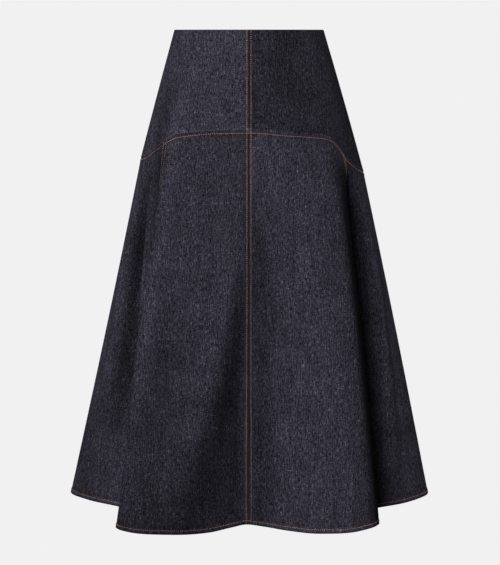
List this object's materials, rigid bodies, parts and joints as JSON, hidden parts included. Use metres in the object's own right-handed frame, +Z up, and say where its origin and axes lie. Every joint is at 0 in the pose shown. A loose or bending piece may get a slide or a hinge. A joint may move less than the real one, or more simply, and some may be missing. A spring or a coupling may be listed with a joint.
{
  "type": "denim skirt",
  "caption": "Flared midi skirt in dark indigo denim with a curved hip yoke, a stitched centre-front seam, side gores, deep soft folds and a concealed centre-back zip.",
  "frame": {"origin": "middle of the waist opening, level with the waist edge", "axes": "+Z up the skirt, from hem to waist; -Y the front; +X the wearer's left"},
  "size_m": [0.617, 0.5169, 0.7929],
  "materials": {
    "denim": "rigid unwashed indigo denim, matt twill with light slubs",
    "thread": "copper-brown topstitching thread with a slight lustre",
    "zip_tape": "fine woven polyester tape",
    "zip_metal": "dull antique brass"
  },
  "bodies": {
    "skirt": {"front_yoke_left": "denim", "front_yoke_right": "denim", "back_yoke_left": "denim", "back_yoke_right": "denim", "front_panel_left": "denim", "front_panel_right": "denim", "side_gore_left": "denim", "side_gore_right": "denim", "back_panel_left": "denim", "back_panel_right": "denim", "zip_tape_left": "zip_tape", "zip_tape_right": "zip_tape", "zip_slider": "zip_metal"},
    "pull": {"zip_pull": "zip_metal"}
  },
  "joints": [
    {"name": "pull_flip", "type": "hinge", "parent": "skirt", "child": "pull", "pos_m": [0.00011, 0.091, -0.0083], "axis": [1, 0, 0], "range_deg": [0, 170]}
  ]
}
